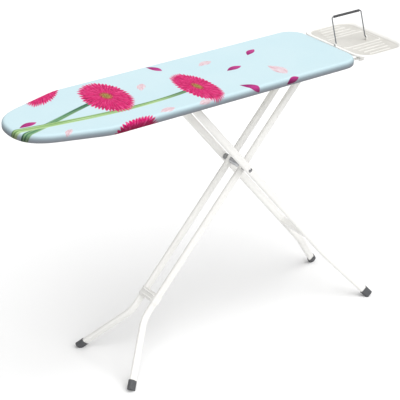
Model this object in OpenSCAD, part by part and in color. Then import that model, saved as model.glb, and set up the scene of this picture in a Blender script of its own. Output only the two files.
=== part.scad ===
// Folding ironing board with a scissor stand and an iron rest.
// Millimetres. +Z up, X along the board (nose at -X, iron rest at +X), Y across.
// The origin is on the floor, under the middle of the whole object.

/* [Board] */
// Length of the padded board, nose to tail
board_len = 1125; // [1110:1:1140]
// Width of the padded board
board_w = 330; // [325:1:340]
// Height of the ironing surface above the floor
board_top = 878; // [878:1:878]
// X of the board's nose
nose_x = -670.5; // [-675:0.5:-665]
// Length of the tapered nose
taper_len = 232; // [220:1:245]
// Corner radius at the tail
tail_r = 62; // [54:1:68]
// Thickness of the cover fabric
fabric_t = 1; // [0.8:0.1:1.2]
// Thickness of the foam pad
pad_t = 6; // [5:0.5:6]
// Thickness of the sheet steel
sheet_t = 1.2; // [1:0.1:1.2]
// Depth of the rim channel under the top plate
rim_h = 15; // [15:0.5:16]
// Width of the rim channel
rim_w = 14; // [12:1:16]

/* [Stand] */
// Height of the scissor pivot above the floor
pivot_z = 562; // [560:1:564]
// X of the scissor pivot
pivot_x = 104.5; // [100:0.5:110]
// Angle of the inner leg above the floor
inner_angle = 48; // [47.8:0.1:48.2]
// Angle of the outer leg above the floor
outer_angle = 50.9; // [50.8:0.1:51]
// Height of both top hinge axes
top_axis_z = 834; // [832:1:835]
// Long side of the oval leg tube
tube_a = 25; // [24:0.5:25]
// Short side of the oval leg tube
tube_b = 14; // [13:0.5:14]
// Wall of the leg tube
tube_wall = 1.3; // [1:0.1:1.6]
// Half spacing of the inner leg's tubes
inner_y = 32; // [30:1:32]
// Half spacing of the outer leg's tubes
outer_y = 64; // [63:1:66]
// Distance from the pivot down to the inner leg's bend
inner_bend_at = 530; // [520:1:540]
// Distance from the pivot down to the outer leg's bend
outer_bend_at = 477; // [470:1:480]
// Bend radius of the inner leg
inner_bend_r = 90; // [80:1:110]
// Bend radius of the outer leg
outer_bend_r = 154; // [140:1:160]
// Splay of the inner leg's feet
inner_splay = 31.5; // [29:0.5:33]
// Splay of the outer leg's feet
outer_splay = 21.5; // [20:0.5:23]
// Diameter of the pivot rod
pivot_d = 8; // [6:1:8]

/* [Iron rest] */
// X of the tray's edge beside the board
tray_x = 465.5; // [464:0.5:470]
// Tray length along the board
tray_l = 200; // [196:1:204]
// Tray width across the board
tray_w = 308; // [300:1:316]
// Height of the tray's rim above the floor
tray_top = 869; // [869:1:869]
// Depth of the tray
tray_depth = 9; // [8:0.5:10]
// Corner radius of the tray
tray_r = 58; // [52:1:62]
// Half spacing of the two rest arms
arm_y = 104; // [100:1:106]
// Diameter of a rest arm
arm_d = 8; // [7:0.5:8]
// Width of the folding hoop
hoop_w = 119; // [114:1:124]
// Length of the hoop's legs
hoop_h = 86; // [80:1:88]
// Lean of the hoop past upright
hoop_lean = 18; // [12:1:20]

/* [Hidden] */
$fn = 48;
fit_gap = 0.06;         // running clearance of a turning part on its shaft, on the radius
slide_gap = 0.4;        // gap between parts that pass each other
lap = 0.5;              // a tube's shin laps its bend by this much
lap_grow = 0.08;        // and its wall is thicker by this much each way
far = 2000;             // larger than the whole object

// Heights of the board's layers, from the top down
pad_top = board_top - fabric_t;
plate_top = pad_top - pad_t;
plate_bottom = plate_top - sheet_t;
rim_bottom = plate_bottom - rim_h;
hem_bottom = rim_bottom - fabric_t - 0.2;
bar_top = plate_bottom - sheet_t;
bar_bottom = rim_bottom + sheet_t;
hem_w = 26;             // width of the hem turned under the rim

// Outline of the board
tail_x = nose_x + board_len;
taper_x = nose_x + taper_len;
half_w = board_w / 2;
round_len = 90;         // length of the rounded nose
round_y = 118;          // half width where the rounding starts
ease_len = 25;          // softening of the corner where the taper starts
curve_steps = 12;

// Scissor geometry
inner_up = (top_axis_z - pivot_z) / sin(inner_angle);
outer_up = (top_axis_z - pivot_z) / sin(outer_angle);
head_x = pivot_x + inner_up * cos(inner_angle);
slide_x = pivot_x - outer_up * cos(outer_angle);
foot_z = 10.5;          // height of a tube's lower end
cap_wall = 2;           // wall of a foot cap
cap_len = 29;           // length of a foot cap
cap_over = 8;           // how far a foot cap runs past the tube
pin_d = 10;             // hinge pin of the inner leg
head_d = 18;            // head tube of the inner leg
head_half = 46;
slide_d = 12;           // slide bar of the outer leg
bush_d = 14;
bush_w = 11;

// Board fittings
bar_w = 25;             // width of a cross bar
nose_bar_x = -384;
mid_bar_x = -88;
tail_bar_x = 412;
bar_half = half_w - 5;  // a bar's ends stand inside the rim channel
rail_x0 = -394;
rail_x1 = -78;
rail_in = 80;           // rail's open side, from the middle
rail_out = 95;          // rail's back
rail_half_h = 8.5;      // half of the rail's inner height
rail_t = 1.5;
rack_y = 73.5;
rack_t = 3;
rack_bottom = top_axis_z + slide_d / 2 + 2.2;
notch_r = 6.2;
notch_pitch = 36;
notch_count = 7;
ear_t = 3;
ear_y = head_half + 2;  // inner face of a hinge ear
rivet_r = 4;

// Height lever
lever_x = slide_x - 1;
lever_w = 18;
lever_t = 2.5;
lever_pin_y = 116;
lever_pin_z = top_axis_z + 13;
lever_roof = 1.5;        // thickness of the lever bracket's top plate
lever_pin_d = 5;
lever_boss_d = 10;
lever_gap = 4.4;        // half gap between the lever's two arms
grip_at = 33;           // distance from the lever's pin to the middle of its grip
keeper_y = lever_pin_y - rack_y - rack_t - 0.7;

// Iron rest
tray_floor = tray_top - tray_depth;
tray_t = 1.5;
flange_w = 12;
lip_h = 6;
arm_z = hem_bottom - arm_d / 2 - 0.6;
arm_x0 = head_x - 26;
arm_x1 = tray_x + tray_l - 34;
rib_h = 2;
rib_w = 7;
hoop_d = 4;
sleeve_d = 8;
hoop_x = tray_x + 7;
hoop_y = -22;
eye_d = 8;              // outside of an eye that the hoop turns in
hoop_z = tray_top + eye_d / 2;

enamel = [0.96, 0.955, 0.93];
grey = [0.36, 0.37, 0.38];
steel = [0.72, 0.73, 0.74];
dark = [0.2, 0.2, 0.21];

// ---------- outline of the board ----------

function mix(a, b, t) = a + (b - a) * t;
function bezier(a, b, c, d, t) = mix(mix(mix(a, b, t), mix(b, c, t), t),
    mix(mix(b, c, t), mix(c, d, t), t), t);
function unit(v) = v / norm(v);

// Half outline, from the tail's middle round to the nose's tip, on the +Y side
function half_outline() =
    let (
        kink = [taper_x, half_w],
        shoulder = [nose_x + round_len, round_y],
        along = unit(shoulder - kink),
        ease_a = kink + [ease_len, 0],
        ease_b = kink + along * ease_len
    )
    concat(
        [for (i = [0 : curve_steps]) [tail_x - tail_r, half_w - tail_r]
            + tail_r * [cos(i * 90 / curve_steps), sin(i * 90 / curve_steps)]],
        [for (i = [0 : 6]) bezier(ease_a, mix(ease_a, kink, 0.66), mix(ease_b, kink, 0.66), ease_b, i / 6)],
        [for (i = [0 : curve_steps]) bezier(shoulder, shoulder + along * round_len * 0.7,
            [nose_x, round_y * 0.55], [nose_x, 0], i / curve_steps)]
    );

function whole_outline(half = half_outline()) = concat(half,
    [for (i = [len(half) - 2 : -1 : 0]) [half[i][0], -half[i][1]]]);

// Each point moved inwards by d, square to the line through its neighbours
function inset_outline(d, p = whole_outline()) = [for (i = [0 : len(p) - 1])
    let (
        into = unit(p[i] - p[(i + len(p) - 1) % len(p)]),
        out = unit(p[(i + 1) % len(p)] - p[i]),
        side = unit([-into[1] - out[1], into[0] + out[0]])
    ) p[i] + side * d / max(0.5, side * [-into[1], into[0]])];

module board_shape(inset) {
    polygon(inset_outline(inset));
}

module board_slab(inset, z0, z1) {
    translate([0, 0, z0]) linear_extrude(z1 - z0) board_shape(inset);
}

module board_ring(outer, inner, z0, z1) {
    translate([0, 0, z0]) linear_extrude(z1 - z0) difference() {
        board_shape(outer);
        board_shape(inner);
    }
}

// ---------- shapes used more than once ----------

// Box given by its two corners
module block(low, high) {
    translate(low) cube(high - low);
}

module rounded_rect(l, w, r) {
    square([l - 2 * r, w], center = true);
    square([l, w - 2 * r], center = true);
    for (sx = [-1, 1], sy = [-1, 1])
        translate([sx * (l / 2 - r), sy * (w / 2 - r)]) circle(r);
}

// Oval with its long side along X
module oval(a, b) {
    square([a - b, b], center = true);
    for (s = [-1, 1]) translate([s * (a - b) / 2, 0]) circle(d = b);
}

module tube_section(grow = 0) {
    difference() {
        oval(tube_a + 2 * grow, tube_b + 2 * grow);
        oval(tube_a - 2 * tube_wall - 2 * grow, tube_b - 2 * tube_wall - 2 * grow);
    }
}

// Cylinder along Y, from y0 to y1
module rod_y(d, y0, y1) {
    translate([0, y0, 0]) rotate([-90, 0, 0]) cylinder(d = d, h = y1 - y0);
}

// Cylinder along X, from x0 to x1
module rod_x(d, x0, x1) {
    translate([x0, 0, 0]) rotate([0, 90, 0]) cylinder(d = d, h = x1 - x0);
}

// A leg's own frame: pivot at the origin, Z up along the leg, Y across the board
module on_inner_leg() {
    translate([pivot_x, 0, pivot_z]) rotate([0, 90 - inner_angle, 0]) children();
}

module on_outer_leg() {
    translate([pivot_x, 0, pivot_z]) rotate([0, outer_angle - 90, 0]) children();
}

function shin_length(angle, bend_at, r, splay) =
    (pivot_z - foot_z - (bend_at + r * sin(splay)) * sin(angle)) / (cos(splay) * sin(angle));

// The frame of a leg's lower end, past the bend, on the +Y side
module past_bend(y, bend_at, r, splay) {
    translate([0, y + r, -bend_at]) rotate([splay, 0, 0]) translate([0, -r, 0]) children();
}

// One bent leg tube on the +Y side, in the leg's own frame
module bent_tube(y, up, bend_at, r, splay, shin) {
    translate([0, y, -bend_at]) linear_extrude(up + bend_at) tube_section();
    translate([0, y + r, -bend_at]) rotate([-90, 0, -90])
        rotate_extrude(angle = splay) translate([r, 0]) rotate([0, 0, 90]) tube_section();
    past_bend(y, bend_at, r, splay)
        translate([0, 0, -shin]) linear_extrude(shin + lap) tube_section(lap_grow);
}

// Rubber cap on a tube's lower end, on the +Y side, in the leg's own frame
module foot_cap(y, bend_at, r, splay, shin) {
    past_bend(y, bend_at, r, splay) translate([0, 0, -shin - cap_over]) difference() {
        linear_extrude(cap_len) oval(tube_a + 2 * cap_wall, tube_b + 2 * cap_wall);
        translate([0, 0, cap_over]) linear_extrude(cap_len)
            oval(tube_a + 2 * lap_grow, tube_b + 2 * lap_grow);
    }
}

module above_floor() {
    intersection() {
        children();
        translate([-far / 2, -far / 2, 0]) cube(far);
    }
}

// A piece drawn on the +Y side, put on the left (1) or the right (-1)
module on_side(side) {
    if (side > 0) children();
    else mirror([0, 1, 0]) children();
}

// ---------- board ----------

module cover() {
    color([0.83, 0.92, 0.95]) {
        board_slab(0, pad_top, board_top);
        board_ring(0, fabric_t, hem_bottom, pad_top);
        board_ring(fabric_t, hem_w, hem_bottom, hem_bottom + fabric_t);
    }
}

module foam_pad() {
    color("white") board_slab(fabric_t + 0.5, plate_top, pad_top);
}

module mesh_top() {
    color(enamel) board_slab(fabric_t + 1, plate_bottom, plate_top);
}

// Roll-formed channel, open towards the middle
module rim_frame() {
    outer = fabric_t + 1;
    color(enamel) {
        board_ring(outer, outer + sheet_t, rim_bottom, plate_bottom);
        board_ring(outer + sheet_t, outer + rim_w, rim_bottom, rim_bottom + sheet_t);
        board_ring(outer + sheet_t, outer + rim_w, plate_bottom - sheet_t, plate_bottom);
    }
}

// Rectangular tube across the board, its ends inside the rim channel
module cross_bar(x, half) {
    color(enamel) difference() {
        block([x - bar_w / 2, -half, bar_bottom], [x + bar_w / 2, half, bar_top]);
        block([x - bar_w / 2 + sheet_t, -half - 1, bar_bottom + sheet_t],
            [x + bar_w / 2 - sheet_t, half + 1, bar_top - sheet_t]);
    }
}

module hinge_ear(side) {
    color(enamel) on_side(side) difference() {
        union() {
            translate([head_x, 0, top_axis_z]) rod_y(26, ear_y, ear_y + ear_t);
            block([head_x - 13, ear_y, top_axis_z], [head_x + 13, ear_y + ear_t, bar_bottom]);
            block([head_x - 13, ear_y, bar_bottom - ear_t], [head_x + 13, ear_y + 24, bar_bottom]);
        }
        translate([head_x, 0, top_axis_z]) rod_y(pin_d, 0, 100);
        ear_rivets(1);
    }
}

module hinge_pin() {
    end = ear_y + ear_t;
    color(steel) translate([head_x, 0, top_axis_z]) {
        rod_y(pin_d, -end, end);
        rod_y(pin_d + 6, end, end + 2.5);
        rod_y(pin_d + 6, -end - 2.5, -end);
    }
}

// C-shaped rail, open towards the middle, hung from the two front cross bars
module guide_rail(side) {
    low = top_axis_z - rail_half_h;
    high = top_axis_z + rail_half_h;
    color(enamel) on_side(side) difference() {
        union() {
            block([rail_x0, rail_in, low - rail_t], [rail_x1, rail_out, low]);
            block([rail_x0, rail_in, high], [rail_x1, rail_out, high + rail_t]);
            block([rail_x0, rail_out - rail_t, low - rail_t], [rail_x1, rail_out, high + rail_t]);
            for (x = [nose_bar_x, mid_bar_x]) {
                block([x - 9, rail_out - rail_t, high], [x + 9, rail_out, bar_bottom]);
                block([x - 9, rail_out - rail_t, bar_bottom - rail_t],
                    [x + 9, rail_out + 14, bar_bottom]);
            }
        }
        rail_rivets(1);
    }
}

// Notched strip above the slide bar
module height_rack(side) {
    color(steel) on_side(side) difference() {
        block([rail_x0, rack_y, rack_bottom], [rail_x1, rack_y + rack_t, bar_bottom]);
        for (i = [0 : notch_count - 1]) translate([slide_x - i * notch_pitch, 0, rack_bottom])
            rod_y(2 * notch_r, rack_y - 1, rack_y + rack_t + 1);
    }
}

// Rivets that hold the ears and the rails to the cross bars
module rivet_at(x, y, flange) {
    translate([x, y, bar_bottom - flange]) cylinder(r = rivet_r / 2, h = flange);
    translate([x, y, bar_bottom - flange - 1.4]) cylinder(r1 = rivet_r * 0.6, r2 = rivet_r, h = 1.4);
}

module ear_rivets(side) {
    for (dx = [-7, 7]) rivet_at(head_x + dx, side * (ear_y + 14), ear_t);
}

module rail_rivets(side) {
    for (x = [nose_bar_x, mid_bar_x]) rivet_at(x, side * (rail_out + 8), rail_t);
}

module fitting_rivets() {
    color(steel) for (side = [-1, 1]) {
        ear_rivets(side);
        rail_rivets(side);
    }
}

// ---------- height lever ----------

// The lever's own frame: pin axis along X, Y towards the board's middle
module at_lever() {
    translate([lever_x, lever_pin_y, lever_pin_z]) mirror([0, 1, 0]) children();
}

// Two cheeks under a plate that reaches back to the middle cross bar
module lever_bracket() {
    cheek = lever_w / 2 + 1;
    roof = bar_bottom - lever_pin_z;
    color(enamel) at_lever() difference() {
        union() {
            for (s = [-1, 1])
                block([s * (cheek + 1) - 1, -6, -6], [s * (cheek + 1) + 1, 6, roof - lever_roof]);
            block([-cheek - 2, -6, roof - lever_roof], [mid_bar_x - lever_x + 9, 6, roof]);
        }
        rod_x(lever_pin_d, -30, 30);
    }
}

module lever_pin() {
    end = lever_w / 2 + 3;
    color(steel) at_lever() {
        rod_x(lever_pin_d, -end, end);
        rod_x(lever_pin_d + 3, -end - 1.5, -end);
        rod_x(lever_pin_d + 3, end, end + 1.5);
    }
}

module lever_spring() {
    color(steel) at_lever() difference() {
        rod_x(lever_pin_d + 3.4, -4, 4);
        rod_x(lever_pin_d + 1, -5, 5);
    }
}

// One of the lever's two flat arms: on the side s, from y0 to y1 and from z0 to z1
module lever_arm(s, y0, y1, z0, z1) {
    block([s > 0 ? lever_gap : -lever_w / 2, y0, z0], [s > 0 ? lever_w / 2 : -lever_gap, y1, z1]);
}

// Bosses on the pin, a keeper over the slide bar, and a tongue for the grip
module height_lever() {
    color(steel) at_lever() difference() {
        union() {
            for (s = [-1, 1]) {
                rod_x(lever_boss_d, s > 0 ? lever_gap : -lever_w / 2, s > 0 ? lever_w / 2 : -lever_gap);
                lever_arm(s, 0, keeper_y, 1.5, 1.5 + lever_t);
                lever_arm(s, -grip_at + 9, 0, -lever_t, 0);
            }
            block([-lever_w / 2, keeper_y - lever_t, rack_bottom - lever_pin_z],
                [lever_w / 2, keeper_y, 1.5 + lever_t]);
        }
        rod_x(lever_pin_d + 2 * fit_gap, -30, 30);
    }
}

module lever_grip() {
    color(grey) at_lever() difference() {
        translate([0, -grip_at, -6 - lever_t / 2]) linear_extrude(12) rounded_rect(54, 26, 8);
        for (s = [-1, 1]) lever_arm(s, -grip_at + 9, 0, -lever_t, 0);
    }
}

// ---------- inner leg ----------

inner_shin = shin_length(inner_angle, inner_bend_at, inner_bend_r, inner_splay);

module inner_tube(side) {
    color(enamel) on_side(side) on_inner_leg() difference() {
        bent_tube(inner_y, inner_up, inner_bend_at, inner_bend_r, inner_splay, inner_shin);
        translate([0, 0, inner_up]) rod_y(head_d, 0, 100);
        rod_y(pivot_d + 2 * fit_gap, 0, 100);
    }
}

module inner_head_tube() {
    color(enamel) on_inner_leg() translate([0, 0, inner_up]) difference() {
        rod_y(head_d, -head_half, head_half);
        rod_y(pin_d + 2 * fit_gap, -head_half - 1, head_half + 1);
    }
}

// Pressed band that ties the two inner tubes together above the splayed feet
module inner_saddle() {
    wall = 1.8;
    l = tube_a + 2 * wall;
    w = 2 * inner_y + tube_b + 2 * wall;
    band = 28;
    color(enamel) on_inner_leg() translate([0, 0, -487 - band / 2]) {
        difference() {
            linear_extrude(band) rounded_rect(l, w, 8);
            translate([0, 0, -1]) linear_extrude(band + 2) for (s = [-1, 1])
                translate([0, s * inner_y]) oval(tube_a, tube_b);
            block([-tube_a / 2, -inner_y + tube_b / 2 + wall, -1],
                [tube_a / 2, inner_y - tube_b / 2 - wall, band + 1]);
        }
        for (z = [7, band - 7]) translate([-l / 2, 0, z]) intersection() {
            rod_y(5, -inner_y + 4, inner_y - 4);
            block([-5, -inner_y, -5], [0, inner_y, 5]);
        }
    }
}

// Spacer tube between the inner tubes, round the pivot rod
module inner_spacer() {
    end = inner_y - tube_b / 2;
    color(steel) on_inner_leg() difference() {
        rod_y(22, -end, end);
        rod_y(pivot_d + 2 * fit_gap, -end - 1, end + 1);
    }
}

module inner_foot(side) {
    color(dark) above_floor() on_side(side) on_inner_leg()
        foot_cap(inner_y, inner_bend_at, inner_bend_r, inner_splay, inner_shin);
}

// ---------- outer leg ----------

outer_shin = shin_length(outer_angle, outer_bend_at, outer_bend_r, outer_splay);

module outer_tube(side) {
    color(enamel) on_side(side) on_outer_leg() difference() {
        bent_tube(outer_y, outer_up + 12, outer_bend_at, outer_bend_r, outer_splay, outer_shin);
        translate([0, 0, outer_up]) rod_y(slide_d, 0, 200);
        rod_y(pivot_d, 0, 200);
    }
}

// Pressed plate between the outer tubes, just above their bends
module outer_cross_plate() {
    half = outer_y - tube_b / 2;
    color(enamel) on_outer_leg() translate([0, 0, -392]) difference() {
        block([-tube_a / 2 + 3, -half, -14], [tube_a / 2 - 3, half, 14]);
        block([-tube_a / 2 + 3 + 2, -half - 1, -12], [tube_a / 2 + 1, half + 1, 12]);
    }
}

module slide_bar() {
    end = rail_out - rail_t - 1.5;
    color(steel) on_outer_leg() translate([0, 0, outer_up]) difference() {
        rod_y(slide_d, -end, end);
        rod_y(slide_d - 3, -end - 1, end + 1);
    }
}

module slide_bush(side) {
    end = rail_out - rail_t - 1.5;
    color(dark) on_side(side) on_outer_leg() translate([0, 0, outer_up]) difference() {
        rod_y(bush_d, end - bush_w, end);
        rod_y(slide_d, end - bush_w - 1, end + 1);
    }
}

module outer_foot(side) {
    color(dark) above_floor() on_side(side) on_outer_leg()
        foot_cap(outer_y, outer_bend_at, outer_bend_r, outer_splay, outer_shin);
}

// ---------- scissor pivot ----------

module pivot_rod() {
    end = outer_y + tube_b / 2;
    color(steel) on_outer_leg() rod_y(pivot_d, -end, end);
}

module pivot_washer(side) {
    color(grey) on_side(side) on_outer_leg() difference() {
        rod_y(20, inner_y + tube_b / 2 + slide_gap, outer_y - tube_b / 2);
        rod_y(pivot_d, 0, 100);
    }
}

// Domed rivet head on the outer face of an outer tube
module pivot_head(side) {
    dome_r = 9;
    face = outer_y + tube_b / 2;
    color(steel) on_side(side) on_outer_leg() intersection() {
        translate([0, face + 3.4 - dome_r, 0]) sphere(dome_r);
        rod_y(40, face, face + 10);
    }
}

// ---------- iron rest ----------

module tray_shape(inset) {
    rounded_rect(tray_l - 2 * inset, tray_w - 2 * inset, tray_r - inset);
}

module tray_ring(outer, inner, z0, z1) {
    translate([tray_x + tray_l / 2, 0, z0]) linear_extrude(z1 - z0) difference() {
        tray_shape(outer);
        tray_shape(inner);
    }
}

module tray_rib(x0, x1, y) {
    translate([(x0 + x1) / 2, y, tray_floor + tray_t]) linear_extrude(rib_h) oval(x1 - x0, rib_w);
}

module iron_tray() {
    rib_x0 = tray_x + 38;
    rib_x1 = tray_x + tray_l - 38;
    color([0.92, 0.9, 0.87]) {
        tray_ring(0, tray_t, tray_top - lip_h, tray_top - tray_t);
        tray_ring(0, flange_w + tray_t, tray_top - tray_t, tray_top);
        tray_ring(flange_w, flange_w + tray_t, tray_floor + tray_t, tray_top - tray_t);
        translate([tray_x + tray_l / 2, 0, tray_floor]) linear_extrude(tray_t)
            tray_shape(flange_w);
        for (side = [-1, 1], i = [0 : 2]) tray_rib(rib_x0, rib_x1, side * (62 + i * 22));
        for (x = [rib_x0 + 4, rib_x1 - 4]) translate([x, 0, tray_floor + tray_t])
            linear_extrude(rib_h) rotate([0, 0, 90]) oval(84, rib_w);
    }
}

module rest_arm(side) {
    color(grey) translate([0, side * arm_y, arm_z]) rod_x(arm_d, arm_x0, arm_x1);
}

// A block round an arm at x, reaching up to the height top
module arm_clip(side, x, top) {
    difference() {
        block([x - 8, side * arm_y - 9, arm_z - 7], [x + 8, side * arm_y + 9, top]);
        translate([0, side * arm_y, arm_z]) rod_x(arm_d, x - 20, x + 20);
    }
}

// Blocks that hold the arms under the two rear cross bars, and the tray on the arms
module rest_clips() {
    color(enamel) for (side = [-1, 1]) {
        for (x = [head_x, tail_bar_x]) arm_clip(side, x, bar_bottom);
        for (x = [tray_x + 34, arm_x1 - 14]) arm_clip(side, x, tray_floor);
    }
}

module rest_arm_caps() {
    color(dark) for (side = [-1, 1]) translate([0, side * arm_y, arm_z]) {
        rod_x(arm_d, arm_x1, arm_x1 + 6);
        rod_x(arm_d, arm_x0 - 6, arm_x0);
    }
}

// Post on the tray's floor and a tab on its rim, each with an eye for the hoop
module hoop_clips() {
    tab_x = tray_x + 1;
    tab_t = 3.5;
    post_x = hoop_x + hoop_w + 3;
    post_t = 4;
    color(steel) difference() {
        union() {
            block([post_x, hoop_y - eye_d / 2, tray_floor + tray_t],
                [post_x + post_t, hoop_y + eye_d / 2, hoop_z]);
            translate([0, hoop_y, hoop_z]) rod_x(eye_d, post_x, post_x + post_t);
            block([tab_x, hoop_y - eye_d / 2, tray_top], [tab_x + tab_t, hoop_y + eye_d / 2, hoop_z]);
            translate([0, hoop_y, hoop_z]) rod_x(eye_d, tab_x, tab_x + tab_t);
        }
        translate([0, hoop_y, hoop_z]) rod_x(hoop_d + 2 * fit_gap, tab_x - 5, post_x + 20);
    }
}

module in_hoop() {
    translate([hoop_x, hoop_y, hoop_z]) rotate([-hoop_lean, 0, 0]) children();
}

module hoop_wire() {
    r = hoop_d / 2;
    color(grey) in_hoop() {
        rod_x(hoop_d, -5.8, 0);
        rod_x(hoop_d, hoop_w, hoop_w + 10);
        for (x = [0, hoop_w]) translate([x, 0, 0]) {
            sphere(r);
            cylinder(r = r, h = hoop_h);
            translate([0, 0, hoop_h]) sphere(r);
        }
        translate([0, 0, hoop_h]) rod_x(hoop_d, 0, hoop_w);
    }
}

module hoop_sleeve() {
    color(dark) in_hoop() translate([0, 0, hoop_h]) difference() {
        rod_x(sleeve_d, 5, hoop_w - 5);
        rod_x(hoop_d, 0, hoop_w);
    }
}

cover();
foam_pad();
mesh_top();
rim_frame();
cross_bar(nose_bar_x, bar_half);  // cross_bar_nose
cross_bar(mid_bar_x, bar_half);  // cross_bar_mid
cross_bar(head_x, bar_half);  // cross_bar_hinge
cross_bar(tail_bar_x, bar_half - 10);  // cross_bar_tail
hinge_ear(1);  // hinge_ear_left
hinge_ear(-1);  // hinge_ear_right
hinge_pin();
guide_rail(1);  // guide_rail_left
guide_rail(-1);  // guide_rail_right
height_rack(1);  // height_rack_left
height_rack(-1);  // height_rack_right
fitting_rivets();
lever_bracket();
lever_pin();
lever_spring();
height_lever();
lever_grip();
inner_tube(1);  // inner_tube_left
inner_tube(-1);  // inner_tube_right
inner_head_tube();
inner_saddle();
inner_spacer();
inner_foot(1);  // inner_foot_left
inner_foot(-1);  // inner_foot_right
outer_tube(1);  // outer_tube_left
outer_tube(-1);  // outer_tube_right
outer_cross_plate();
slide_bar();
slide_bush(1);  // slide_bush_left
slide_bush(-1);  // slide_bush_right
outer_foot(1);  // outer_foot_left
outer_foot(-1);  // outer_foot_right
pivot_rod();
pivot_washer(1);  // pivot_washer_left
pivot_washer(-1);  // pivot_washer_right
pivot_head(1);  // pivot_head_left
pivot_head(-1);  // pivot_head_right
iron_tray();
rest_arm(1);  // rest_arm_left
rest_arm(-1);  // rest_arm_right
rest_clips();
rest_arm_caps();
hoop_clips();
hoop_wire();
hoop_sleeve();
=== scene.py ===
"""A folding ironing board: the looks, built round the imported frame.

Metres, +Z up, X along the board from the nose to the tail."""

import math
import random

import bmesh
import bpy
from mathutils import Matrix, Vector


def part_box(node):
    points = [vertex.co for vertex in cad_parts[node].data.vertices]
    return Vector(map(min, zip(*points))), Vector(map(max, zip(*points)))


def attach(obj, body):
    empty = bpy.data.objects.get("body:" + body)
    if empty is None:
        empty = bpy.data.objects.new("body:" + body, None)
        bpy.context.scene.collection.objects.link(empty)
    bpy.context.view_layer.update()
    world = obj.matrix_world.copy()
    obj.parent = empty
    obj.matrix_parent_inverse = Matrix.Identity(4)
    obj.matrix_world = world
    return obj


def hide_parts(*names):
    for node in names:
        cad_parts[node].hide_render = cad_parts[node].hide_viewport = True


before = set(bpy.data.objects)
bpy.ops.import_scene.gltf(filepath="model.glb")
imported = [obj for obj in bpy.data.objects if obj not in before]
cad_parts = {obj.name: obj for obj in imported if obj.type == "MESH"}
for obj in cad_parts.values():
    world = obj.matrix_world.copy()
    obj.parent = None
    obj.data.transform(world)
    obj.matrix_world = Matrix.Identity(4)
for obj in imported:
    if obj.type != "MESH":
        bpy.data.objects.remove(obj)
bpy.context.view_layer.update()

# ---------- places, from the frame ----------

COVER_LOW, COVER_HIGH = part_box("cover")
PAD_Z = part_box("foam_pad")[0][2]
MESH_LOW, MESH_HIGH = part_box("mesh_top")
TRAY_LOW, TRAY_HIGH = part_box("iron_tray")
HOOP_LOW, HOOP_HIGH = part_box("hoop_wire")
SPRING_LOW, SPRING_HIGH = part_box("lever_spring")

NOSE_X = COVER_LOW[0]
TAIL_X = COVER_HIGH[0]
HALF_W = COVER_HIGH[1]
TOP_Z = COVER_HIGH[2]
HEM_Z = COVER_LOW[2]

# The board's outline, as in the CAD model
TAPER_LEN = 0.232
ROUND_LEN = 0.090
ROUND_Y = 0.118
EASE_LEN = 0.025
TAIL_R = 0.062
FABRIC = 0.001
HEM_W = 0.026
EDGE_R = 0.0110         # rounding of the cover over the pad's edge
TRAY_FLOOR = TRAY_LOW[2] + 0.0018


# ---------- camera ----------

CAMERA_AT = Vector((-0.0305, 0.0, 0.470))
CAMERA_AZIMUTH = math.radians(-35.81)
CAMERA_ELEVATION = math.radians(26.85)
CAMERA_DISTANCE = 4.247
CAMERA_LENS = 125.0
CAMERA_SENSOR = 36.0
CAMERA_SHIFT = (-0.002, 0.0017)


def make_camera():
    data = bpy.data.cameras.new("camera")
    camera = bpy.data.objects.new("camera", data)
    bpy.context.scene.collection.objects.link(camera)
    back = Vector((
        math.sin(CAMERA_AZIMUTH) * math.cos(CAMERA_ELEVATION),
        -math.cos(CAMERA_AZIMUTH) * math.cos(CAMERA_ELEVATION),
        math.sin(CAMERA_ELEVATION),
    ))
    camera.location = CAMERA_AT + back * CAMERA_DISTANCE
    camera.rotation_euler = back.to_track_quat("Z", "Y").to_euler()
    data.lens = CAMERA_LENS
    data.sensor_width = CAMERA_SENSOR
    data.shift_x, data.shift_y = CAMERA_SHIFT
    data.clip_end = 50.0
    bpy.context.scene.camera = camera


make_camera()


# ---------- node trees ----------

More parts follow.
